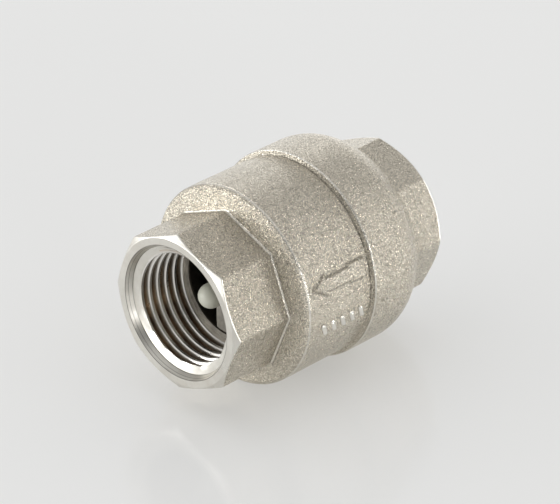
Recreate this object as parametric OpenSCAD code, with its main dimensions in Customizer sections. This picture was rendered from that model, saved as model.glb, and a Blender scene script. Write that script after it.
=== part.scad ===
// In-line spring check valve with female G 1/2 ports.
// The flow runs along +X, from the inlet cap to the outlet body.
// Every module is drawn along its own +Z, measured from the inlet face, and on_axis() lays it on X.

/* [Valve] */
// Length between the two end faces
valve_length = 48; // [47.5:0.5:49]
// Radius of the outlet body's barrel
barrel_r = 17; // [16.9:0.1:17.1]
// Radius of the ring on the inlet cap
ring_r = 17.7; // [17.6:0.1:18]
// Joint between cap and body, from the inlet face
joint_z = 21.4; // [21.3:0.1:21.5]

/* [Octagon ends] */
// Width across the flats
across_flats = 25.4; // [25.3:0.1:25.8]
// Radius of the flat ring on the outlet's end face
outlet_face_r = 12.6; // [12.4:0.05:12.6]
// Radius of the flat ring on the inlet's end face
inlet_face_r = 12; // [11.8:0.1:12.4]
// Length of the inlet octagon
inlet_octagon = 7.2; // [6.8:0.1:7.4]
// Length of the outlet octagon
outlet_octagon = 11.4; // [11.2:0.1:11.8]

/* [Pipe ports] */
// Radius of each port's bore, which is the crest radius of its G 1/2 thread
crest_r = 9.3155; // [9.3:0.0005:9.35]
// Outer radius of the countersink at each mouth
mouth_r = 11.35; // [11.2:0.05:11.5]
// Depth of the countersink at each mouth
mouth_l = 1.25; // [1:0.05:1.5]
// Depth of each port, to its step
port_depth = 11.2; // [11:0.1:11.4]
// Radius of the water passage behind each port
passage_r = 8.3; // [8:0.1:8.4]

/* [Guide bridge] */
// Radius of the hub that guides the stem
hub_r = 4.3; // [4.2:0.1:4.4]
// Width of each of the two arms that hold the hub
arm_w = 4.8; // [4.4:0.1:5]
// Radial clearance of the stem in the hub
stem_clearance = 0.08; // [0.05:0.01:0.1]

/* [Poppet] */
// Radius of the poppet's disc
disc_r = 10.8; // [10.6:0.1:10.9]
// Radius of the guided stem
stem_r = 2.05; // [2:0.05:2.1]
// Outer radius of the sealing ring
seal_r = 10.2; // [10:0.1:10.3]
// How far the poppet opens
lift = 5; // [4.5:0.1:5]

/* [Spring] */
// Mean radius of the coil
coil_r = 5.2; // [5.15:0.05:5.25]
// Radius of the wire
wire_r = 0.4; // [0.35:0.05:0.4]
// Free turns between the two closed ends
coil_turns = 4; // [3:1:5]

/* [Raised marks] */
// Height of the arrow and the bars above the barrel
mark_h = 0.35; // [0.25:0.05:0.4]
// Angle of the arrow above the horizontal, seen along the axis
arrow_angle = 16; // [10:1:20]
// Angle of the row of bars, which lies below the arrow
bars_angle = -10; // [-14:1:-6]

/* [Hidden] */
$fn = 96;
slack = 0.05;                                  // clearance where two fixed pieces nest
over = 0.5;                                    // how far a cutter runs past a face
corner_r = across_flats / 2 / cos(22.5);       // octagon radius, flat to corner
outlet_chamfer = 30;                           // corner chamfers, in degrees from the end face
inlet_chamfer = 40;
outlet_root = valve_length - outlet_octagon;   // outlet octagon meets the barrel
ring_z = 14;                                   // cap ring starts, after the shoulder
ring_end = joint_z - 0.65;                     // ring ramps down to the joint
edge_r = 1.6;                                  // rounding of the barrel's outlet edge
mouth_in_r = mouth_r - mouth_l * tan(25);      // radius where the countersink meets the thread
mouth_lead = 0.6;                              // the thread's first crest rises over this length
arrow_z = 28.2;                                // middle of the arrow
bars = 5;
bars_z = 23.4;                                 // middle of the first bar
bars_pitch = 2.1;
bar_l = 0.9;
bar_w = 2.2;
spigot_r = 14.9;                               // male joint thread on the cap
spigot_l = 6;
joint_relief = 0.8;                            // body's joint bore runs past the spigot
joint_pitch = 1.5;                             // joint thread, drawn as rings
joint_turns = 3;
joint_depth = 0.8;
joint_flank = 0.45;
joint_land = 0.3;
seat_z = 20;                                   // seat lip, from the inlet face
lip_r = passage_r + 1.2;
cap_chamber_r = 12.9;
body_chamber_r = 13.4;
cone_z = 31;                                   // body chamber starts to narrow
web_z = 34.2;                                  // spring rests on the arms here
web_end = valve_length - port_depth;
seal_z = seat_z + 0.05;                        // sealing face, closed
disc_z = seal_z + 1.6;
disc_l = 2;
boss_r = 4;
stem_root_r = 3.4;
stem_root_end = 27.5;
stem_end = 40.2;                               // centre of the domed tip
retainer_r = 7;
retainer_l = 0.8;
screw_r = 1.5;
screw_head_r = 2.8;
screw_head_l = 1.8;
screw_end = 26;
gasket_in = spigot_r + 0.2;
gasket_out = 16.2;
gasket_l = 0.8;

module on_axis() {
    translate([-valve_length / 2, 0, 0]) rotate([0, 90, 0]) children();
}

// Points of an arc about c, as [radius, station], with its own radius along each way
function arc(c, rx, rz, from, to, steps) =
    [for (i = [0:steps]) let (a = from + (to - from) * i / steps) [c[0] + rx * cos(a), c[1] + rz * sin(a)]];

// The joint thread as rings, walked along +Z from the station start: crest, flank, root, flank
function thread_points(start, crest, root) =
    [for (i = [0:joint_turns - 1]) let (z = start + i * joint_pitch)
        each [[crest, z], [root, z + joint_flank], [root, z + joint_flank + joint_land],
            [crest, z + 2 * joint_flank + joint_land]]];

// Cutter for a port whose mouth is at z = 0 and whose step is at port_depth
module port_cutter() {
    rotate_extrude()
        polygon([[0, -over], [mouth_r, -over], [mouth_r, 0], [mouth_in_r, mouth_l],
            [crest_r, mouth_l + mouth_lead], [crest_r, port_depth], [0, port_depth]]);
}

// Octagon end of length l whose face is at z = 0, chamfered from radius face_r outwards
module octagon_end(l, face_r, angle) {
    chamfer_l = (corner_r - face_r) * tan(angle);
    intersection() {
        cylinder(r = corner_r, h = l, $fn = 8);
        rotate_extrude()
            polygon([[0, 0], [face_r, 0], [corner_r, chamfer_l], [corner_r + 1, chamfer_l],
                [corner_r + 1, l + 1], [0, l + 1]]);
    }
}

// Flow arrow, pointing along +X, in the XY plane, with a head, a shaft and a wider tail
module arrow_outline() {
    tip = 5.6;
    neck = 3;
    tail = -2.3;
    head_half = 1.6;
    shaft_half = 1.05;
    tail_half = 1.45;
    half = [[tip, 0.3], [neck, head_half], [neck, shaft_half], [tail, shaft_half], [tail, tail_half],
        [-tip, tail_half]];
    polygon(concat(half, [for (i = [len(half) - 1:-1:0]) [half[i][0], -half[i][1]]]));
}

// Raises a flat outline from the barrel at an angle, centred on a station
module raised(angle, station) {
    intersection() {
        cylinder(r = barrel_r + mark_h, h = valve_length);
        rotate([0, 0, 90 + angle])
            translate([barrel_r - 2, 0, station])
                rotate([90, 0, 90])
                    rotate([0, 0, 90])
                        linear_extrude(height = 4) children();
    }
}

module raised_bars() {
    for (i = [0:bars - 1])
        raised(bars_angle, bars_z + i * bars_pitch) square([bar_l, bar_w], center = true);
}

module body_shell() {
    rotate_extrude()
        polygon(concat(
            [[0, joint_z], [barrel_r, joint_z]],
            arc([barrel_r - edge_r, outlet_root - 0.6 - edge_r], edge_r, edge_r, 0, 80, 8),
            [[across_flats / 2 - 0.4, outlet_root], [0, outlet_root]]));
    translate([0, 0, valve_length])
        mirror([0, 0, 1])
            octagon_end(outlet_octagon + 1.5, outlet_face_r, outlet_chamfer);
}

module body_cavity() {
    rotate_extrude()
        polygon(concat(
            [[0, joint_z - over], [spigot_r + 0.1, joint_z - over]],
            thread_points(joint_z + 0.8, spigot_r + 0.1, spigot_r + 0.1 + joint_depth),
            [[spigot_r + 0.1, joint_z + spigot_l + joint_relief],
                [body_chamber_r, joint_z + spigot_l + joint_relief],
                [body_chamber_r, cone_z], [passage_r, web_z + 0.3], [passage_r, web_end + 0.1],
                [0, web_end + 0.1]]));
    translate([0, 0, valve_length])
        mirror([0, 0, 1])
            port_cutter();
}

// Hub on two arms that reach into the web on either side
module guide_bridge() {
    bridge_end = web_end - 0.2;
    difference() {
        union() {
            translate([-passage_r - 0.8, -arm_w / 2, web_z])
                cube([2 * passage_r + 1.6, arm_w, bridge_end - web_z]);
            translate([0, 0, web_z - 1.2])
                cylinder(r = hub_r, h = bridge_end - web_z + 1.2);
        }
        translate([0, 0, web_z - 2])
            cylinder(r = stem_r + stem_clearance, h = bridge_end - web_z + 4);
    }
}

module outlet_body() {
    color("#b5ad99") on_axis() {
        difference() {
            union() {
                body_shell();
                raised(arrow_angle, arrow_z) arrow_outline();
                raised_bars();
            }
            body_cavity();
        }
        guide_bridge();
    }
}

module cap_shell() {
    rotate_extrude()
        polygon(concat(
            [[0, inlet_octagon - 2], [across_flats / 2 - 0.6, inlet_octagon - 2],
                [across_flats / 2 - 0.6, inlet_octagon]],
            arc([ring_r - 7.8, ring_z], 7.8, 7, -66, 0, 10),
            [[ring_r, ring_end], [barrel_r + 0.05, joint_z], [spigot_r, joint_z]],
            thread_points(joint_z + 1.1, spigot_r, spigot_r - joint_depth),
            [[spigot_r, joint_z + spigot_l - 0.3], [spigot_r - 0.3, joint_z + spigot_l],
                [0, joint_z + spigot_l]]));
    octagon_end(inlet_octagon + 2.5, inlet_face_r, inlet_chamfer);
}

module cap_cavity() {
    port_cutter();
    rotate_extrude()
        polygon([[0, port_depth - 0.1], [passage_r, port_depth - 0.1], [passage_r, seat_z], [lip_r, seat_z],
            [lip_r + 0.3, seat_z - 1], [cap_chamber_r, seat_z - 1], [cap_chamber_r, joint_z + spigot_l + over],
            [0, joint_z + spigot_l + over]]);
    rotate_extrude()
        translate([gasket_in, joint_z - gasket_l])
            square([gasket_out - gasket_in, gasket_l + 0.001]);
}

module inlet_cap() {
    color("#aaa28e") on_axis() difference() {
        cap_shell();
        cap_cavity();
    }
}

module body_gasket() {
    color("#d8d3c4") on_axis() translate([0, 0, joint_z - gasket_l + slack]) difference() {
        cylinder(r = gasket_out - slack, h = gasket_l - slack);
        translate([0, 0, -over])
            cylinder(r = gasket_in + slack, h = gasket_l + 2 * over);
    }
}

module poppet() {
    color("#d9dccf") on_axis() difference() {
        rotate_extrude()
            polygon(concat(
                [[0, seal_z], [boss_r, seal_z], [boss_r, disc_z], [seal_r + slack, disc_z],
                    [seal_r + slack, disc_z - 0.8], [disc_r, disc_z - 0.8], [disc_r, disc_z + disc_l - 0.6],
                    [disc_r - 0.6, disc_z + disc_l], [stem_root_r, disc_z + disc_l],
                    [stem_root_r, stem_root_end - 0.5], [stem_root_r - 0.5, stem_root_end],
                    [stem_r, stem_root_end], [stem_r, stem_end]],
                arc([0, stem_end], stem_r, stem_r, 10, 90, 8)));
        translate([0, 0, seal_z - over])
            cylinder(r = screw_r + slack, h = screw_end + 0.5 - seal_z + over, $fn = 32);
    }
}

module seat_seal() {
    color("#26272a") on_axis() translate([0, 0, seal_z]) difference() {
        cylinder(r = seal_r, h = disc_z - seal_z);
        translate([0, 0, -over])
            cylinder(r = boss_r + slack, h = disc_z - seal_z + 2 * over);
    }
}

module seal_retainer() {
    color("#c3c6c8") on_axis() translate([0, 0, seal_z - retainer_l]) difference() {
        cylinder(r = retainer_r, h = retainer_l);
        translate([0, 0, -over])
            cylinder(r = screw_r + 2 * slack, h = retainer_l + 2 * over, $fn = 32);
    }
}

// Pan-head screw with a slot, its head towards the inlet
module retainer_screw() {
    head_z = seal_z - retainer_l - screw_head_l;
    color("#b9bcbe") on_axis() difference() {
        rotate_extrude($fn = 48)
            polygon([[0, head_z], [screw_head_r - 0.7, head_z], [screw_head_r, head_z + 0.7],
                [screw_head_r, head_z + screw_head_l], [screw_r, head_z + screw_head_l],
                [screw_r, screw_end - 0.8], [screw_r - 0.8, screw_end], [0, screw_end]]);
        translate([-screw_head_r - 1, -0.4, head_z - 1])
            cube([2 * screw_head_r + 2, 0.8, 1.8]);
    }
}

// Compression spring: a closed turn at each end and open turns between, swept as one tube
module spring() {
    sides = 8;
    per_turn = 24;
    start = disc_z + disc_l + wire_r + slack;
    end = web_z - wire_r - slack;
    rise = end - start - 4 * wire_r;
    turns = coil_turns + 2;
    rings = turns * per_turn;
    function height(t) = start + (t < 1 ? 2 * wire_r * t
        : t > turns - 1 ? 2 * wire_r + rise + 2 * wire_r * (t - turns + 1)
        : 2 * wire_r + rise * (t - 1) / coil_turns);
    points = [for (i = [0:rings]) let (t = i / per_turn)
        for (k = [0:sides - 1]) let (r = coil_r + wire_r * cos(360 * k / sides))
            [r * cos(360 * t), r * sin(360 * t), height(t) + wire_r * sin(360 * k / sides)]];
    walls = [for (i = [0:rings - 1]) for (k = [0:sides - 1]) let (n = (k + 1) % sides)
        [i * sides + k, (i + 1) * sides + k, (i + 1) * sides + n, i * sides + n]];
    caps = [[for (k = [0:sides - 1]) k], [for (k = [sides - 1:-1:0]) rings * sides + k]];
    color("#9da0a3") on_axis()
        polyhedron(points = points, faces = concat(walls, caps), convexity = 10);
}

outlet_body();
inlet_cap();
body_gasket();
poppet();
seat_seal();
seal_retainer();
retainer_screw();
spring();
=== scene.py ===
import math

import bmesh
import bpy
import numpy as np
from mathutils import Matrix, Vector, noise


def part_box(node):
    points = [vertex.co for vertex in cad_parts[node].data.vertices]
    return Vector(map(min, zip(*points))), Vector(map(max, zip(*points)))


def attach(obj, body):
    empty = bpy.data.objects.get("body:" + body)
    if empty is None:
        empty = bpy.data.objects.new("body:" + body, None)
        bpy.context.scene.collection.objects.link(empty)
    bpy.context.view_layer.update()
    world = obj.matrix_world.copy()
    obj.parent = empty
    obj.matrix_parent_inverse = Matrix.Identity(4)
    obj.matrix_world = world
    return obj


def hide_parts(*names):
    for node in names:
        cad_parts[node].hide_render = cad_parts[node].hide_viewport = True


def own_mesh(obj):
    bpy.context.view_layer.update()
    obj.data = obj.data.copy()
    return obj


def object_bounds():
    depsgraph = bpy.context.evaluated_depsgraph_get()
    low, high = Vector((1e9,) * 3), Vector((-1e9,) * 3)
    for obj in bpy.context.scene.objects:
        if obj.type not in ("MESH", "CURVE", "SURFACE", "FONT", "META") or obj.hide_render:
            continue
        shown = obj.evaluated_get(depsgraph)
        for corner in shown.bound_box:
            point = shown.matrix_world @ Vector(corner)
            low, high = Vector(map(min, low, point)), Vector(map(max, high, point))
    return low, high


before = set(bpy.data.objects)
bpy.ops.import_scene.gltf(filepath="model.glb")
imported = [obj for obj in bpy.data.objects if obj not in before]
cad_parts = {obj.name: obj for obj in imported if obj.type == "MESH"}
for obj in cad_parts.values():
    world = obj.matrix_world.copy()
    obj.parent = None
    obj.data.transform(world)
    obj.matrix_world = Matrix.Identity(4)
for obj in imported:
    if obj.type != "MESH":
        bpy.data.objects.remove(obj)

# Profiles are drawn in millimetres, as (station, radius): a station is the distance from the inlet face
# along the flow axis, which is +X. Angles are in degrees about that axis, from +Y towards +Z.
MM = 0.001
CAD_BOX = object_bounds()
INLET_X = CAD_BOX[0][0]


def station(x):
    """Distance from the inlet face, in millimetres, of a place in metres along X."""
    return (x - INLET_X) / MM


LENGTH = station(CAD_BOX[1][0])
RING_R = CAD_BOX[1][2] / MM
JOINT = station(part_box("outlet_body")[0].x)
SPIGOT_END = station(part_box("inlet_cap")[1].x)
SEAL_FACE = station(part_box("seat_seal")[0].x)
SEAL_BACK = station(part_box("seat_seal")[1].x)
SEAL_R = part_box("seat_seal")[1].z / MM
DISC_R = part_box("poppet")[1].z / MM
STEM_TIP = station(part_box("poppet")[1].x)
RETAINER_FACE = station(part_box("seal_retainer")[0].x)
RETAINER_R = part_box("seal_retainer")[1].z / MM
SCREW_FACE = station(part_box("retainer_screw")[0].x)
SCREW_END = station(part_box("retainer_screw")[1].x)
SCREW_HEAD_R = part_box("retainer_screw")[1].z / MM
SPRING_START = station(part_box("spring")[0].x)
SPRING_END = station(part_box("spring")[1].x)
GASKET_START = station(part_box("body_gasket")[0].x)
GASKET_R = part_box("body_gasket")[1].z / MM

# Outside of the two forgings; a chamfer is (radius where it meets the end face, degrees from that face)
APOTHEM = 12.7
CORNER_ROUND = 0.6
OUTLET_CHAMFER = (12.6, 30)
INLET_CHAMFER = (12.0, 40)
OUTLET_ROOT = LENGTH - 11.4
INLET_ROOT = 7.2
BARREL_R = 17.0
BARREL_EDGE = OUTLET_ROOT - 0.75
RING_START = 14.0

# Ports: G 1/2 thread, 14 turns to the inch
PITCH = 1.814
CREST_R = 9.3155
ROOT_R = 10.4775
MOUTH_R = 11.35
MOUTH_IN_R = 10.76
MOUTH_L = 1.25
MOUTH_LEAD = 0.25
PORT_DEPTH = 11.2
PASSAGE_R = 8.3
ROWS_PER_TURN = 16

# Inside
SPIGOT_R = 14.9
SEAT = 20.0
HUB_R = 4.3
STEM_R = 2.05
STEM_CLEARANCE = 0.08
WEB = 34.2
WEB_END = LENGTH - PORT_DEPTH

BLASTED, MACHINED, THREADED, SHADE_PAINTED_INSIDE, BRIDGE = 0, 1, 2, 3, 4


# ---------------------------------------------------------------- materials

class Nodes:
    """A new material's nodes, laid out by short calls."""

    def __init__(self, name):
        self.material = bpy.data.materials.new(name)
        self.material.use_nodes = True
        self.tree = self.material.node_tree
        self.shader = self.tree.nodes["Principled BSDF"]
        self.place = self.tree.nodes.new("ShaderNodeTexCoord").outputs["Object"]

    def link(self, source, target):
        self.tree.links.new(source, target)

    def noise(self, scale, detail=3.0, roughness=0.55, stretch=None):
        node = self.tree.nodes.new("ShaderNodeTexNoise")
        node.inputs["Scale"].default_value = scale
        node.inputs["Detail"].default_value = detail
        node.inputs["Roughness"].default_value = roughness
        self.link(self.stretched(stretch) if stretch else self.place, node.inputs["Vector"])
        return node.outputs["Fac"]

    def stretched(self, factors):
        node = self.tree.nodes.new("ShaderNodeMapping")
        node.inputs["Scale"].default_value = factors
        self.link(self.place, node.inputs["Vector"])
        return node.outputs["Vector"]

    def ramp(self, value, *stops):
        node = self.tree.nodes.new("ShaderNodeValToRGB")
        elements = node.color_ramp.elements
        while len(elements) < len(stops):
            elements.new(0.5)
        for element, (position, colour) in zip(elements, stops):
            element.position = position
            element.color = (*colour, 1.0) if isinstance(colour, tuple) else (colour, colour, colour, 1.0)
        self.link(value, node.inputs["Fac"])
        return node.outputs["Color"]

    def mix(self, factor, first, second, kind="MIX"):
        node = self.tree.nodes.new("ShaderNodeMix")
        node.data_type = "RGBA"
        node.blend_type = kind
        for value, socket in ((factor, node.inputs[0]), (first, node.inputs[6]), (second, node.inputs[7])):
            if isinstance(value, (int, float)):
                socket.default_value = value
            elif isinstance(value, tuple):
                socket.default_value = (*value, 1.0)
            else:
                self.link(value, socket)
        return node.outputs[2]

    def bump(self, height, distance, strength=1.0):
        node = self.tree.nodes.new("ShaderNodeBump")
        node.inputs["Strength"].default_value = strength
        node.inputs["Distance"].default_value = distance
        self.link(height, node.inputs["Height"])
        return node.outputs["Normal"]

    def radius(self, low, high):
        """Distance from the flow axis, as 0 at low and 1 at high."""
        across = self.tree.nodes.new("ShaderNodeVectorMath")
        across.operation = "LENGTH"
        self.link(self.stretched((0.0, 1.0, 1.0)), across.inputs[0])
        node = self.tree.nodes.new("ShaderNodeMapRange")
        node.inputs["From Min"].default_value = low
        node.inputs["From Max"].default_value = high
        self.link(across.outputs["Value"], node.inputs["Value"])
        return node.outputs["Result"]

    def wear_and_painted_light(self):
        """1 on edges that handling has polished, which a painted highlight also lightens; 0 in corners and
        creases darkened by painted shade with some grime; 0.5 elsewhere.
        """
        node = self.tree.nodes.new("ShaderNodeAttribute")
        node.attribute_name = "wear_and_painted_light"
        return node.outputs["Fac"]

    def set(self, **values):
        for name, value in values.items():
            socket = self.shader.inputs[name.replace("_", " ")]
            if isinstance(value, bpy.types.NodeSocket):
                self.link(value, socket)
            elif isinstance(value, tuple):
                socket.default_value = (*value, 1.0)
            else:
                socket.default_value = value


def blasted_nickel(name, tint):
    """Nickel plate over a bead-blasted forging: sparkling grain, polished edges lightened partly as a painted
    highlight, and corners darkened partly by grime and partly as painted shade.
    """
    n = Nodes(name)
    grain = n.noise(6600, detail=1.0, roughness=0.6)
    dimples = n.noise(4400, detail=1.0)
    patches = n.noise(150, detail=4.0)
    base = n.mix(n.ramp(patches, (0.3, 0.0), (0.7, 1.0)), tint, tuple(c * 0.93 for c in tint))
    speckle = n.ramp(grain, (0.34, (0.42, 0.42, 0.41)), (0.5, (0.98, 0.98, 0.98)), (0.66, (1.66, 1.66, 1.70)))
    wear_and_painted_light = n.wear_and_painted_light()
    # Painted shade with a little grime: darkens corners, creases and the foot of raised marks where the wear
    # attribute is low.
    grime_and_painted_shade = n.ramp(wear_and_painted_light, (0.0, 1.0), (0.5, 0.0))
    polish = n.ramp(wear_and_painted_light, (0.5, 0.0), (1.0, 1.0))
    # Painted highlight with real polish: lightens edges and the bars where the wear attribute is high.
    bared_and_painted_highlight = n.ramp(wear_and_painted_light, (0.8, 0.0), (1.0, 1.0))
    colour = n.mix(bared_and_painted_highlight, n.mix(1.0, base, speckle, "MULTIPLY"), (0.78, 0.76, 0.71))
    rough = n.ramp(n.noise(1100, detail=3.0), (0.3, 0.20), (0.7, 0.30))
    depth = n.mix(polish, (1.0, 1.0, 1.0), (0.15, 0.15, 0.15))
    pits = n.mix(1.0, n.mix(0.5, grain, dimples), depth, "MULTIPLY")
    # The dark colour mixed in here is the painted shade and grime.
    n.set(Base_Color=n.mix(grime_and_painted_shade, colour, (0.10, 0.09, 0.07)), Metallic=1.0, Normal=n.bump(pits, 0.00029),
          Roughness=n.mix(polish, rough, (0.12, 0.12, 0.12)))
    return n.material


def machined_nickel(name, tint):
    """Turned, plated metal: bright, with fine tool lines round the axis and a little staining."""
    n = Nodes(name)
    lines = n.noise(1.0, detail=3.0, stretch=(9000, 140, 140))
    stains = n.noise(320, detail=5.0, roughness=0.65)
    colour = n.mix(n.ramp(stains, (0.45, 0.0), (0.75, 0.4)), tint, (0.50, 0.45, 0.38))
    # Dark where the wear attribute is low: the scribed grime lines in the countersink, and painted shade at
    # the groove between the forgings.
    grime_and_painted_shade = n.ramp(n.wear_and_painted_light(), (0.0, 1.0), (0.5, 0.0))
    n.set(Base_Color=n.mix(grime_and_painted_shade, colour, (0.06, 0.05, 0.04)), Metallic=1.0,
          Roughness=n.ramp(lines, (0.3, 0.26), (0.7, 0.40)), Normal=n.bump(lines, 0.00002, 0.6))
    return n.material


def threaded_nickel(name, crest_tint_with_painted_highlight, root_residue_and_shade_tint):
    """Cut thread: crests lightened partly as a painted highlight, grooves darker and browner, partly cutting
    residue and partly painted shade.
    """
    n = Nodes(name)
    lines = n.noise(1.0, detail=2.0, stretch=(6000, 90, 90))
    stains = n.noise(260, detail=4.0, roughness=0.6)
    # Colour by radius, lighter at the crest and darker towards the root: painted highlight and painted shade.
    groove = n.ramp(n.radius(CREST_R * MM, ROOT_R * MM), (0.15, 0.0), (0.7, 1.0))
    groove_residue_and_shade = n.mix(n.ramp(stains, (0.35, 0.0), (0.65, 1.0)), root_residue_and_shade_tint, tuple(c * 0.45 for c in root_residue_and_shade_tint))
    n.set(Base_Color=n.mix(groove, crest_tint_with_painted_highlight, groove_residue_and_shade), Metallic=1.0, Normal=n.bump(lines, 0.00001, 0.5),
          Roughness=n.ramp(stains, (0.3, 0.26), (0.7, 0.42)))
    return n.material


def cast_inside(name, tint):
    """Unplated, dull inside of a forging, mottled by oxide; its tint sets how dark it is, and the chamber's
    near-black tint is painted shade.
    """
    n = Nodes(name)
    grain = n.noise(1800, detail=4.0)
    oxide = n.noise(300, detail=4.0)
    n.set(Base_Color=n.mix(n.ramp(oxide, (0.35, 0.0), (0.7, 1.0)), tint, tuple(c * 0.5 for c in tint)),
          Metallic=0.8, Roughness=n.ramp(oxide, (0.3, 0.5), (0.7, 0.7)), Normal=n.bump(grain, 0.0001, 0.8))
    return n.material


def acetal(name):
    """Natural acetal: milky, a little translucent, with faint flow marks."""
    n = Nodes(name)
    flow = n.noise(260, detail=4.0, stretch=(0.4, 1.0, 1.0))
    colour = n.mix(n.ramp(flow, (0.35, 0.0), (0.7, 1.0)), (0.66, 0.66, 0.57), (0.58, 0.58, 0.49))
    n.set(Base_Color=colour, Subsurface_Weight=0.3, Normal=n.bump(n.noise(2500), 0.00001, 0.4),
          Roughness=n.ramp(flow, (0.3, 0.30), (0.7, 0.42)))
    n.shader.inputs["Subsurface Radius"].default_value = (0.0012, 0.0012, 0.001)
    return n.material


def rubber(name):
    """Black nitrile rubber with a fine moulded grain and a dusty bloom."""
    n = Nodes(name)
    bloom = n.noise(380, detail=4.0)
    n.set(Base_Color=n.mix(n.ramp(bloom, (0.4, 0.0), (0.8, 1.0)), (0.018, 0.018, 0.02), (0.05, 0.05, 0.05)),
          Roughness=n.ramp(bloom, (0.3, 0.52), (0.7, 0.7)), Normal=n.bump(n.noise(4000), 0.00002, 0.6))
    return n.material


def stainless(name, tint, rough, stretch):
    """Stainless steel with marks drawn out along its forming direction."""
    n = Nodes(name)
    marks = n.noise(1.0, detail=4.0, stretch=stretch)
    n.set(Base_Color=n.mix(marks, tint, tuple(c * 0.8 for c in tint)), Metallic=1.0,
          Roughness=n.ramp(marks, (0.3, rough), (0.7, rough + 0.15)), Normal=n.bump(marks, 0.00001, 0.5))
    return n.material


def ptfe(name):
    """Waxy off-white PTFE."""
    n = Nodes(name)
    mottle = n.noise(500, detail=3.0)
    n.set(Base_Color=n.mix(mottle, (0.78, 0.76, 0.70), (0.68, 0.66, 0.60)),
          Roughness=n.ramp(mottle, (0.3, 0.42), (0.7, 0.55)), Normal=n.bump(n.noise(3000), 0.00001, 0.4))
    return n.material


def table_top(name):
    """Pale, faintly glossy table of white acrylic, lit a little from below."""
    n = Nodes(name)
    mottle = n.noise(6, detail=3.0)
    n.set(Base_Color=n.mix(mottle, (0.60, 0.602, 0.60), (0.58, 0.582, 0.58)), Emission_Strength=0.31,
          Emission_Color=(1.0, 1.0, 0.98), Roughness=n.ramp(mottle, (0.3, 0.13), (0.7, 0.17)))
    return n.material


# ---------------------------------------------------------------- profiles

SUPPORT = 0.07


def bend(before, corner, after, radius, steps):
    """The arc that rounds a corner, with a supporting point just outside each end to keep the flats flat."""
    first, second = np.subtract(before, corner), np.subtract(after, corner)
    first_l, second_l = np.hypot(*first), np.hypot(*second)
    if radius <= 0:
        return [tuple(corner)]
    if min(first_l, second_l) < 1e-6:
        return [tuple(corner)] * (steps + 3)
    first, second = first / first_l, second / second_l
    half = math.acos(max(-1.0, min(1.0, float(first @ second)))) / 2
    reach = min(radius / max(math.tan(half), 1e-6), 0.44 * first_l, 0.44 * second_l)
    if half > math.radians(89.5) or reach < 1e-5:
        return [tuple(corner)] * (steps + 3)
    start, end = corner + first * reach, corner + second * reach
    centre = corner + (first + second) / np.hypot(*(first + second)) * reach / math.cos(half)
    radius = reach * math.tan(half)
    points = [tuple(start + first * min(SUPPORT, 0.04 * first_l))]
    for t in np.linspace(0, 1, steps + 1):
        out = start * (1 - t) + end * t - centre
        points.append(tuple(centre + out / np.hypot(*out) * radius))
    return points + [tuple(end + second * min(SUPPORT, 0.04 * second_l))]


def rounded(path, steps=5):
    """Turns a closed path of (station, radius, rounding, finish) into (station, radius, finish, wear and
    painted light) rows.

    A fifth value is the wear of that corner's arc, which also carries painted highlight and painted shade.
    Without one, an outer corner is polished and lightened, partly as a painted highlight, and a small one
    most.
    """
    corners = [np.array(point[:2]) for point in path]
    turns = [(c - b)[1] * (b - a)[0] - (c - b)[0] * (b - a)[1]
             for a, b, c in zip(corners[-1:] + corners[:-1], corners, corners[1:] + corners[:1])]
    area = sum(a[0] * b[1] - a[1] * b[0] for a, b in zip(corners, corners[1:] + corners[:1]))
    rows = []
    for i, (corner, turn) in enumerate(zip(corners, turns)):
        rounding, finish = path[i][2:4]
        points = bend(corners[i - 1], corner, corners[(i + 1) % len(path)], rounding, steps)
        arc = len(points) > 1
        wear_and_painted_light = (1.0 if rounding < 0.6 else 0.9) if arc and turn * area > 0 else 0.5
        if len(path[i]) > 4:
            wear_and_painted_light = path[i][4]
        ends = (0, len(points) - 1) if arc else ()
        rows += [(*p, finish, 0.5 if k in ends else wear_and_painted_light) for k, p in enumerate(points)]
    return rows


def octagon_radius(angle):
    """Distance from the axis to the octagon's side, with its corners rounded."""
    to_corner = math.radians(abs((angle + 22.5) % 45 - 22.5))
    centre = (APOTHEM - CORNER_ROUND) / math.cos(math.pi / 8)
    tangent = math.pi / 8 - math.atan2((APOTHEM - CORNER_ROUND) * math.tan(math.pi / 8), APOTHEM)
    if to_corner < tangent:
        across = centre * math.sin(to_corner)
        return centre * math.cos(to_corner) + math.sqrt(CORNER_ROUND ** 2 - across ** 2)
    return APOTHEM / math.cos(math.pi / 8 - to_corner)


def smooth(value, low, high):
    t = min(1.0, max(0.0, (value - low) / (high - low)))
    return t * t * (3 - 2 * t)


def helix_rows(lead, start, end, pitch, inner, outer, fades):
    """Rows of a thread's groove as (depth, radius); lead, in turns, moves it along with the angle."""
    first, last = math.floor(start / pitch) - 1, math.ceil(end / pitch) + 1
    rows = []
    for k in range(ROWS_PER_TURN * (last - first) + 1):
        phase = first + k / ROWS_PER_TURN
        depth = min(end, max(start, (phase + lead) * pitch))
        groove = smooth(abs(2 * (phase % 1) - 1), 0.24, 0.90)
        groove *= smooth(depth, start, start + fades[0]) * (1 - smooth(depth, end - fades[1], end))
        rows.append((depth, inner + (outer - inner) * groove))
    return rows


# (depth, wear) down the countersink, with thin lines of grime where the tool stopped
SCRIBED = ((0.0, 0.05), (0.1, 0.5), (0.42, 0.5), (0.5, 0.2), (0.58, 0.5),
           (MOUTH_L - 0.2, 0.5), (MOUTH_L - 0.1, 0.15))


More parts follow.
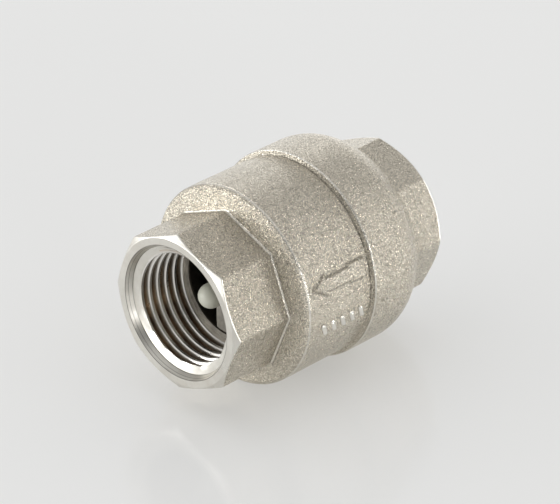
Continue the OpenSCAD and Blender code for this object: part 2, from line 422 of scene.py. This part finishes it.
def port_path(angle, face, turn, chamfer):
    """Octagon side, chamfer, end face, mouth, thread and step of a port.

    turn is +1 where depth runs along +X.
    """
    side = octagon_radius(angle)
    face_r, slope = chamfer
    chamfer_l = max(0.02, (side - face_r) * math.tan(math.radians(slope)))
    path = [(face + turn * chamfer_l, side, 0.12, MACHINED), (face, face_r, 0.12, MACHINED),
            (face, MOUTH_R + 0.12, 0, MACHINED)]
    for depth, wear_and_painted_light in SCRIBED:
        cone = MOUTH_R + (MOUTH_IN_R - MOUTH_R) * depth / MOUTH_L
        path.append((face + turn * depth, cone, 0, MACHINED, wear_and_painted_light))
    thread = helix_rows(turn * angle / 360, MOUTH_L, PORT_DEPTH - 0.1, PITCH, CREST_R, ROOT_R, (0.01, 0.5))
    for depth, r in thread:
        cone = float(np.interp(depth, [MOUTH_L, MOUTH_L + MOUTH_LEAD], [MOUTH_IN_R, CREST_R]))
        finish = MACHINED if depth < MOUTH_L + 0.3 else THREADED
        path.append((face + turn * depth, max(r, cone), 0, finish))
    step = face + turn * PORT_DEPTH
    return path + [(step, CREST_R, 0.08, BRIDGE), (step, PASSAGE_R, 0.18, SHADE_PAINTED_INSIDE)]


# ---------------------------------------------------------------- raised marks

def box_distance(u, v, half_u, half_v):
    """Signed distance to a rectangle's outline."""
    du, dv = abs(u) - half_u, abs(v) - half_v
    return math.hypot(max(du, 0), max(dv, 0)) + min(max(du, dv), 0)


def arrow_distance(u, v):
    """Signed distance to the flow arrow's outline; u runs along the flow from its middle."""
    v = abs(v)
    head_l, head_half, neck = 2.6, 1.6, 3.0
    head = max(((u - neck) * head_half + (v - head_half) * head_l) / math.hypot(head_l, head_half), neck - u)
    shaft = box_distance(u - 0.4, v, 2.9, 1.05)
    tail = box_distance(u + 3.95, v, 1.65, 1.45)
    return min(head, shaft, tail)


MARK_H = 0.40
ARROW_ANGLE, ARROW_STATION = 16.0, 28.2
BARS_ANGLE, BARS, FIRST_BAR, BAR_PITCH, BAR_SLANT = -10.0, 5, 23.4, 2.1, 0.4
MARKED_ANGLES = (-26, 32)
MARKED_STATIONS = (21.8, 35)


def mark(s, angle):
    """Height above the barrel, and wear with painted light, of the arrow and of the row of plain bars:
    painted shade round the arrow's foot, and a painted highlight with polish on the bars.
    """
    around = (angle + 180) % 360 - 180
    if not (MARKED_ANGLES[0] < around < MARKED_ANGLES[1] and MARKED_STATIONS[0] < s < MARKED_STATIONS[1]):
        return 0.0, 0.5
    arrow = arrow_distance(s - ARROW_STATION, math.radians(around - ARROW_ANGLE) * BARREL_R)
    height = 1 - smooth(arrow, -0.15, 0.22)
    # A darker band round the arrow's foot: painted shade, with a little grime.
    wear_and_painted_light = 0.5 - 0.2 * smooth(arrow, -0.1, 0.15) * (1 - smooth(arrow, 0.2, 0.5))
    v = math.radians(around - BARS_ANGLE) * BARREL_R
    for i in range(BARS):
        bar = box_distance(s - FIRST_BAR - BAR_PITCH * i - BAR_SLANT * v, v, 0.28, 0.85)
        height = max(height, 0.9 * (1 - smooth(bar, -0.15, 0.28)))
        # The bars are polished and lightened, partly as a painted highlight.
        wear_and_painted_light += 0.5 * (1 - smooth(bar, 0.1, 0.35))
    return MARK_H * height, min(1.0, max(0.0, wear_and_painted_light))


# ---------------------------------------------------------------- meshes

def lathe(name, angles, profile, finishes):
    """Turns a profile that may change with the angle into one closed mesh."""
    columns = [profile(float(a)) for a in angles]
    rows = len(columns[0])
    turned = np.radians(np.array(angles, float))[:, None]
    s = np.array([[p[0] for p in c] for c in columns])
    r = np.array([[p[1] for p in c] for c in columns])
    points = np.stack([INLET_X + s * MM, r * np.cos(turned) * MM, r * np.sin(turned) * MM], axis=2)
    faces, finish = [], []
    for i in range(len(columns) - 1):
        for k in range(rows):
            n = (k + 1) % rows
            faces.append((i * rows + k, i * rows + n, (i + 1) * rows + n, (i + 1) * rows + k))
            finish.append(columns[i][k][2])
    mesh = bpy.data.meshes.new(name)
    mesh.from_pydata(points.reshape(-1, 3).tolist(), [], faces)
    mesh.polygons.foreach_set("material_index", finish)
    wear_and_painted_light = mesh.attributes.new("wear_and_painted_light", "FLOAT", "POINT")
    wear_and_painted_light.data.foreach_set("value", [p[3] for c in columns for p in c])
    return finished(name, mesh, finishes)


def finished(name, mesh, finishes, sharp=34):
    """Welds, orients and shades a mesh, and puts it in the scene with its materials."""
    work = bmesh.new()
    work.from_mesh(mesh)
    bmesh.ops.remove_doubles(work, verts=work.verts, dist=4e-7)
    bmesh.ops.dissolve_degenerate(work, edges=work.edges, dist=1e-7)
    bmesh.ops.recalc_face_normals(work, faces=work.faces)
    work.to_mesh(mesh)
    work.free()
    for material in finishes:
        mesh.materials.append(material)
    mesh.shade_smooth()
    mesh.set_sharp_from_angle(angle=math.radians(sharp))
    piece = bpy.data.objects.new(name, mesh)
    bpy.context.scene.collection.objects.link(piece)
    return piece


def cut(piece, cutter):
    """Takes one piece's shape out of another for good."""
    modifier = piece.modifiers.new("cut", "BOOLEAN")
    modifier.object = cutter
    modifier.solver = "EXACT"
    bpy.context.view_layer.update()
    piece.data = bpy.data.meshes.new_from_object(piece.evaluated_get(bpy.context.evaluated_depsgraph_get()))
    piece.modifiers.clear()
    bpy.data.objects.remove(cutter)


def unevenness(piece, finish, amount, size):
    """Moves the faces of one finish in and out a little, as a forging's surface is never quite true."""
    mesh = piece.data
    free = np.ones(len(mesh.vertices), bool)
    for polygon in mesh.polygons:
        if polygon.material_index != finish:
            free[list(polygon.vertices)] = False
    places, normals = np.empty(len(free) * 3), np.empty(len(free) * 3, np.float32)
    mesh.vertices.foreach_get("co", places)
    mesh.vertex_normals.foreach_get("vector", normals)
    places, normals = places.reshape(-1, 3), normals.reshape(-1, 3)
    for i in np.flatnonzero(free):
        places[i] += normals[i] * amount * noise.fractal(Vector(places[i] / size), 1.0, 2.0, 2)
    mesh.vertices.foreach_set("co", places.ravel())
    mesh.update()


def angle_list(step, fine=None):
    """Angles round the axis, closer together at the octagon's corners and over a marked sector."""
    angles = list(np.arange(0, 360, step))
    for corner in range(0, 361, 45):
        angles += [corner + a for a in (-2, -1.2, -0.85, -0.55, -0.25, 0, 0.25, 0.55, 0.85, 1.2, 2)]
    if fine:
        low, high, fine_step = fine
        angles += list(np.arange(low, high, fine_step))
    turned = sorted({round(float(a) % 360, 2) for a in angles})
    kept = [turned[0]]
    for a in turned[1:]:
        if a - kept[-1] > 0.12 or a % 45 == 0:
            kept.append(a)
    return kept + [360.0]


# Joint between the forgings: a thread in the bore, which runs past the spigot, and a fine groove outside
JOINT_PITCH = 1.5
JOINT_RELIEF = 0.8
JOINT_DEPTH = 0.8
GROOVE = 0.16
CHAMBER_R = 13.4
CHAMBER_END = 31.0
SPIGOT_BORE_R = 12.9


def outlet_body(finishes):
    """Barrel with the raised arrow, outlet octagon and port, web, and the thread that takes the cap."""
    bore = SPIGOT_R + 0.1
    thread_end = SPIGOT_END + JOINT_RELIEF
    barrel = np.arange(JOINT + 0.7, BARREL_EDGE - 1.4, 0.15)
    rim_l, rim_drop = 0.6, 0.42
    rim_end = BARREL_EDGE - 0.02

    def profile(angle):
        # Wear 0 in the groove at the joint is painted shade between the parts; the high wear on the barrel's
        # edges lightens them, partly as a painted highlight.
        path = [(JOINT, bore, 0.15, MACHINED), (JOINT, BARREL_R - GROOVE, 0, BLASTED, 0.0),
                (JOINT + 0.05, BARREL_R - GROOVE, 0, BLASTED, 0.42),
                (JOINT + 0.20, BARREL_R, 0.25, BLASTED, 0.95)]
        for s in barrel:
            height, wear_and_painted_light = mark(s, angle)
            path.append((s, BARREL_R + height, 0, BLASTED, wear_and_painted_light))
        side = octagon_radius(angle)
        # The 0.88 on the concave fillet at the octagon's root is a painted highlight.
        path += [(rim_end - rim_l, BARREL_R, 0.6, BLASTED, 0.9),
                 (rim_end, BARREL_R - rim_drop, 1.0, BLASTED, 0.5),
                 (OUTLET_ROOT, side, 0.35, BLASTED, 0.88), (OUTLET_ROOT + 1.2, side, 0, BLASTED)]
        path += port_path(angle, LENGTH, -1, OUTLET_CHAMFER)
        path += [(WEB + 0.3, PASSAGE_R, 0.3, SHADE_PAINTED_INSIDE), (CHAMBER_END, CHAMBER_R, 0.6, SHADE_PAINTED_INSIDE),
                 (thread_end, CHAMBER_R, 0.2, MACHINED), (thread_end, bore, 0, MACHINED)]
        thread = helix_rows(angle / 360, JOINT + 0.5, thread_end - 0.2, JOINT_PITCH, bore, bore + JOINT_DEPTH,
                            (0.4, 0.4))
        path += [(s, r, 0, MACHINED) for s, r in reversed(thread)]
        return rounded(path)

    piece = lathe("outlet_body_forging", angle_list(1.0, (*MARKED_ANGLES, 0.4)), profile, finishes)
    unevenness(piece, BLASTED, 0.00002, 0.004)
    return piece


def bridge_radius(angle):
    """Outline of the hub and its two arms, seen along the axis, blended where they meet."""
    a = math.radians(angle)
    arm_half_width, blend = 2.5, 0.5
    arm = min(arm_half_width / max(abs(math.cos(a)), 1e-6), PASSAGE_R + 0.8)
    if arm < HUB_R - 2:
        return HUB_R
    return math.log(math.exp(HUB_R / blend) + math.exp(arm / blend)) * blend


def guide_bridge(finishes):
    """Hub that guides the stem, on two cast arms that run into the web."""
    front, back = WEB_END - 0.2, WEB
    bore = STEM_R + STEM_CLEARANCE

    def profile(angle):
        out = max(bridge_radius(angle), HUB_R + 0.2)
        path = [(back - 1.2, bore, 0.15, MACHINED), (back - 1.2, HUB_R - 0.1, 0.3, SHADE_PAINTED_INSIDE),
                (back, HUB_R, 0.15, SHADE_PAINTED_INSIDE), (back, out, 0.3, BRIDGE), (front - 0.3, out, 0.3, BRIDGE),
                (front, out - 0.35, 0.3, BRIDGE), (front, HUB_R * 0.9, 0, BRIDGE),
                (front + 0.15, HUB_R * 0.75, 0.1, MACHINED), (front + 0.15, bore + 0.25, 0.05, MACHINED),
                (front - 0.1, bore, 0, MACHINED)]
        return rounded(path)

    piece = lathe("guide_bridge", list(np.arange(0, 360, 2.0)) + [360.0], profile, finishes)
    unevenness(piece, BRIDGE, 0.00005, 0.0016)
    return piece


def inlet_cap(finishes):
    """Inlet octagon and port, the round shoulder, the ring, and the spigot with the seat lip inside."""
    shoulder_r, shoulder_l = 7.8, 7.0
    centre = RING_R - shoulder_r
    lip = PASSAGE_R + 1.2
    recess = SPIGOT_R + 0.2
    gasket_clearance = 0.05
    recess_floor = GASKET_START - gasket_clearance
    recess_r = GASKET_R + gasket_clearance

    def profile(angle):
        side = octagon_radius(angle)
        start = -math.acos((side - centre) / shoulder_r)
        path = [(SPIGOT_END, SPIGOT_BORE_R, 0.15, MACHINED), (SPIGOT_END, SPIGOT_R - 0.3, 0, MACHINED)]
        thread = helix_rows(angle / 360, JOINT + 0.7, SPIGOT_END - 0.3, JOINT_PITCH, SPIGOT_R,
                            SPIGOT_R - JOINT_DEPTH, (0.4, 0.4))
        path += [(s, r, 0, MACHINED) for s, r in reversed(thread)]
        # Wear 0 in the groove at the joint is painted shade between the parts; 0.92 on the ring's edge
        # lightens it, partly as a painted highlight.
        path += [(JOINT, SPIGOT_R, 0.05, MACHINED), (JOINT, recess, 0, MACHINED),
                 (recess_floor, recess, 0, MACHINED), (recess_floor, recess_r, 0, MACHINED),
                 (JOINT, recess_r, 0, MACHINED), (JOINT, BARREL_R - GROOVE - 0.05, 0, BLASTED, 0.0),
                 (JOINT - 0.08, BARREL_R - GROOVE + 0.05, 0, BLASTED, 0.45),
                 (JOINT - 0.15, BARREL_R, 0, BLASTED, 0.5), (JOINT - 0.40, RING_R, 0.22, BLASTED, 0.92)]
        for a in np.linspace(0, start, 15):
            path.append((RING_START + shoulder_l * math.sin(a), centre + shoulder_r * math.cos(a),
                         0.45 if a == start else 0, BLASTED))
        path.append((INLET_ROOT - 1.5, side, 0, BLASTED))
        path += port_path(angle, 0.0, 1, INLET_CHAMFER)
        path += [(SEAT, PASSAGE_R, 0.15, MACHINED), (SEAT, lip, 0.15, MACHINED),
                 (SEAT - 1, lip + 0.3, 0.1, SHADE_PAINTED_INSIDE), (SEAT - 1, SPIGOT_BORE_R, 0.2, SHADE_PAINTED_INSIDE)]
        return rounded(path)

    piece = lathe("inlet_cap_forging", angle_list(1.0), profile, finishes)
    unevenness(piece, BLASTED, 0.00002, 0.004)
    return piece


def round_piece(name, path, finish, step=3.0):
    """A plainly round piece from one path of (station, radius, rounding)."""
    rows = rounded([(*point, 0) for point in path])
    return lathe(name, list(np.arange(0, 360, step)) + [360.0], lambda angle: rows, [finish])


def gasket(finish):
    """Flat ring, squeezed a little between cap and body."""
    inner = SPIGOT_R + 0.25
    return round_piece("joint_gasket", [(GASKET_START, inner, 0.12), (GASKET_START, GASKET_R, 0.2),
                                        (JOINT, GASKET_R, 0.2), (JOINT, inner, 0.12)], finish)


def poppet(finish):
    """Moulded poppet: a disc that carries the seal, a stepped root and the long guided stem."""
    rim_front, back = SEAL_BACK - 0.8, SEAL_BACK + 2.0
    boss_r, root_r, root_end = 4.0, 3.4, 27.5
    screw_hole = 1.55
    dome = STEM_TIP - STEM_R
    path = [(SCREW_END + 0.5, 0.02, 0), (SCREW_END + 0.3, screw_hole, 0), (SEAL_FACE, screw_hole, 0.1),
            (SEAL_FACE, boss_r, 0.15), (SEAL_BACK, boss_r, 0.1), (SEAL_BACK, SEAL_R + 0.05, 0.1),
            (rim_front, SEAL_R + 0.05, 0.06), (rim_front, DISC_R, 0.12), (back - 0.6, DISC_R, 0.2),
            (back, DISC_R - 0.6, 0.25), (back, 8.6, 0.1), (back - 0.25, 8.2, 0.1),
            (back - 0.25, root_r + 1.0, 0.1), (back, root_r, 0.35), (root_end - 0.5, root_r, 0.2),
            (root_end, root_r - 0.5, 0.15),
            (root_end, STEM_R, 0.25)]
    path += [(dome + STEM_R * math.sin(a), max(STEM_R * math.cos(a), 0.02), 0)
             for a in np.linspace(0, math.pi / 2, 12)]
    return round_piece("poppet_moulding", path, finish)


def seal(finish):
    """Rubber ring with a low bead where it meets the seat."""
    inner, bead = 4.05, PASSAGE_R + 0.6
    path = [(SEAL_FACE + 0.1, inner, 0.1), (SEAL_FACE + 0.1, bead - 0.7, 0.1), (SEAL_FACE, bead, 0.35),
            (SEAL_FACE + 0.1, bead + 0.7, 0.1), (SEAL_FACE + 0.1, SEAL_R, 0.25), (SEAL_BACK, SEAL_R, 0.1),
            (SEAL_BACK, inner, 0.1)]
    return round_piece("seal_ring", path, finish)


def retainer(finish):
    """Stamped washer that holds the seal, its rim rolled by the punch."""
    inner = 1.6
    path = [(RETAINER_FACE, inner, 0.1), (RETAINER_FACE, RETAINER_R, 0.3), (SEAL_FACE, RETAINER_R, 0.06),
            (SEAL_FACE, inner, 0.06)]
    return round_piece("seal_washer", path, finish)


def screw(finish):
    """Slotted pan-head screw with a rolled M3 thread."""
    head_back = SCREW_FACE + 1.8
    thread_start, thread_end = head_back + 0.6, SCREW_END - 0.8
    shank_r, root_r, pitch = 1.5, 1.2, 0.5
    slot_w, slot_l, slot_reach = 0.8, 0.8, 4.0

    def profile(angle):
        path = [(SCREW_FACE, 0.02, 0, 0), (SCREW_FACE + 0.03, 1.0, 0, 0), (SCREW_FACE + 0.12, 2.3, 0.5, 0),
                (SCREW_FACE + 0.6, SCREW_HEAD_R, 0.35, 0), (head_back, SCREW_HEAD_R, 0.12, 0),
                (head_back, shank_r, 0.08, 0)]
        thread = helix_rows(-angle / 360, thread_start, thread_end, pitch, shank_r, root_r, (0.3, 0.3))
        path += [(s, r, 0, 0) for s, r in thread]
        return rounded(path + [(SCREW_END, shank_r - 0.75, 0.1, 0), (SCREW_END, 0.02, 0, 0)])

    piece = lathe("seal_screw", list(np.arange(0, 360, 6.0)) + [360.0], profile, [finish])
    low = Vector((INLET_X + (SCREW_FACE - 1) * MM, -slot_reach * MM, -slot_w / 2 * MM))
    high = Vector((INLET_X + (SCREW_FACE + slot_l) * MM, slot_reach * MM, slot_w / 2 * MM))
    corners = [(x, y, z) for x in (low.x, high.x) for y in (low.y, high.y) for z in (low.z, high.z)]
    sides = [(0, 1, 3, 2), (4, 6, 7, 5), (0, 4, 5, 1), (2, 3, 7, 6), (0, 2, 6, 4), (1, 5, 7, 3)]
    box = bpy.data.meshes.new("slot_cutter")
    box.from_pydata(corners, [], sides)
    cut(piece, finished("slot_cutter", box, [finish]))
    piece.data.set_sharp_from_angle(angle=math.radians(30))
    return piece


def spring(finishes):
    """Compression spring with a closed turn at each end, its ends ground flat."""
    coil_r, wire_r, open_turns = 5.2, 0.4, 4
    sides, per_turn = 14, 48
    turns = open_turns + 2
    low, high = SPRING_START + wire_r, SPRING_END - wire_r
    knots = [0, 1, turns - 1, turns]
    heights = [low, low + 2 * wire_r, high - 2 * wire_r, high]
    points, faces = [], []
    for i in range(turns * per_turn + 1):
        t = i / per_turn
        middle = float(np.interp(t, knots, heights))
        for k in range(sides):
            around, a = 2 * math.pi * k / sides, 2 * math.pi * t
            s = min(max(middle + wire_r * math.sin(around), SPRING_START + 0.2), SPRING_END - 0.2)
            r = coil_r + wire_r * math.cos(around)
            points.append((INLET_X + s * MM, r * math.cos(a) * MM, r * math.sin(a) * MM))
    for i in range(turns * per_turn):
        for k in range(sides):
            n = (k + 1) % sides
            faces.append((i * sides + k, i * sides + n, (i + 1) * sides + n, (i + 1) * sides + k))
    last = turns * per_turn * sides
    faces += [tuple(range(sides)), tuple(last + k for k in range(sides))]
    mesh = bpy.data.meshes.new("return_spring")
    mesh.from_pydata(points, [], faces)
    return finished("return_spring", mesh, finishes, sharp=50)


# ---------------------------------------------------------------- stage

def softbox(name, direction, distance, size, power):
    """Rectangular light that faces the valve from a direction, at a distance in metres."""
    light = bpy.data.lights.new(name, "AREA")
    light.shape = "RECTANGLE"
    light.size, light.size_y = size
    light.energy = power
    lamp = bpy.data.objects.new(name, light)
    lamp.location = Vector(direction).normalized() * distance
    lamp.rotation_euler = (-lamp.location).to_track_quat("-Z", "Y").to_euler()
    bpy.context.scene.collection.objects.link(lamp)


def camera():
    """The view from the outlet end, a little above the valve and to one side."""
    data = bpy.data.cameras.new("camera")
    data.lens = 227
    data.sensor_width = 36
    data.shift_x, data.shift_y = -0.0124, 0.0105
    data.clip_start, data.clip_end = 0.01, 20
    view = bpy.data.objects.new("camera", data)
    view.location = (0.3545, 0.3460, 0.2741)
    aim = Vector((-0.001, 0, 0)) - view.location
    view.rotation_euler = aim.to_track_quat("-Z", "Y").to_euler()
    bpy.context.scene.collection.objects.link(view)
    bpy.context.scene.camera = view


# Direction of a darker part of the studio, which gives the rounded edges their dark lines
DARK_CARD = (0.626, 0.611, 0.484)


def stage():
    """Table top, pale surroundings and the lights."""
    floor = bpy.data.meshes.new("table")
    half = 3.0
    z = CAD_BOX[0][2]
    corners = [(-half, -half, z), (half, -half, z), (half, half, z), (-half, half, z)]
    floor.from_pydata(corners, [], [(0, 1, 2, 3)])
    floor.materials.append(table_top("table_top"))
    top = bpy.data.objects.new("table", floor)
    bpy.context.scene.collection.objects.link(top)
    world = bpy.data.worlds.new("studio")
    world.use_nodes = True
    tree = world.node_tree
    towards = tree.nodes.new("ShaderNodeVectorMath")
    towards.operation = "DOT_PRODUCT"
    towards.inputs[1].default_value = DARK_CARD
    card = tree.nodes.new("ShaderNodeValToRGB")
    card.color_ramp.elements[0].position, card.color_ramp.elements[0].color = 0.80, (1.0, 1.0, 1.0, 1.0)
    card.color_ramp.elements[1].position, card.color_ramp.elements[1].color = 0.92, (0.10, 0.10, 0.10, 1.0)
    tree.links.new(tree.nodes.new("ShaderNodeTexCoord").outputs["Generated"], towards.inputs[0])
    tree.links.new(towards.outputs["Value"], card.inputs["Fac"])
    tree.links.new(card.outputs["Color"], tree.nodes["Background"].inputs["Color"])
    tree.nodes["Background"].inputs["Strength"].default_value = 0.73
    bpy.context.scene.world = world
    bpy.context.scene.view_settings.view_transform = "Standard"
    softbox("left_low", (0.85, -0.53, 0.04), 0.8, (1.00, 0.20), 4.6)
    softbox("left_high", (0.24, -0.81, 0.52), 0.8, (0.24, 0.24), 0.2)
    softbox("back_softbox", (-0.80, -0.62, 0.12), 0.9, (0.50, 0.20), 0.5)
    softbox("right_softbox", (-0.60, 0.80, 0.06), 0.8, (0.16, 0.08), 1.2)
    softbox("right_front", (0.40, 0.88, 0.22), 0.9, (0.20, 0.10), 0.8)


# ---------------------------------------------------------------- the valve

def place(piece, body, node):
    """Fixes a piece to its body, and lets it stand for a CAD node if one is named."""
    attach(piece, body)
    if node:
        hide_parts(node)


def main():
    camera()
    stage()
    warm = (0.575, 0.530, 0.440)
    metals = [blasted_nickel("blasted_nickel", warm), machined_nickel("machined_nickel", (0.72, 0.70, 0.645)),
              # Thread crests lightened partly as a painted highlight, grooves darkened as painted shade with
              # brown residue.
              threaded_nickel("threaded_nickel", (0.86, 0.84, 0.80), (0.56, 0.45, 0.34)),
              # The near-black cast_inside tint is painted shade inside the chamber, the passages and behind
              # the hub.
              cast_inside("cast_inside", (0.06, 0.05, 0.04)), cast_inside("cast_bridge", (0.75, 0.71, 0.63))]
    plastic = acetal("natural_acetal")
    place(outlet_body(metals), "valve_body", "outlet_body")
    place(guide_bridge(metals), "valve_body", None)
    place(inlet_cap(metals), "valve_body", "inlet_cap")
    place(gasket(ptfe("gasket_ptfe")), "valve_body", "body_gasket")
    place(poppet(plastic), "poppet_body", "poppet")
    place(seal(rubber("seal_rubber")), "poppet_body", "seat_seal")
    place(retainer(stainless("washer_steel", (0.62, 0.62, 0.62), 0.24, (900, 60, 60))),
          "poppet_body", "seal_retainer")
    place(screw(stainless("screw_steel", (0.60, 0.60, 0.59), 0.30, (700, 700, 700))),
          "poppet_body", "retainer_screw")

    coil = spring([stainless("spring_wire", (0.62, 0.62, 0.63), 0.22, (600, 600, 600))])
    place(coil, "valve_body", "spring")
    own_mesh(coil)


main()
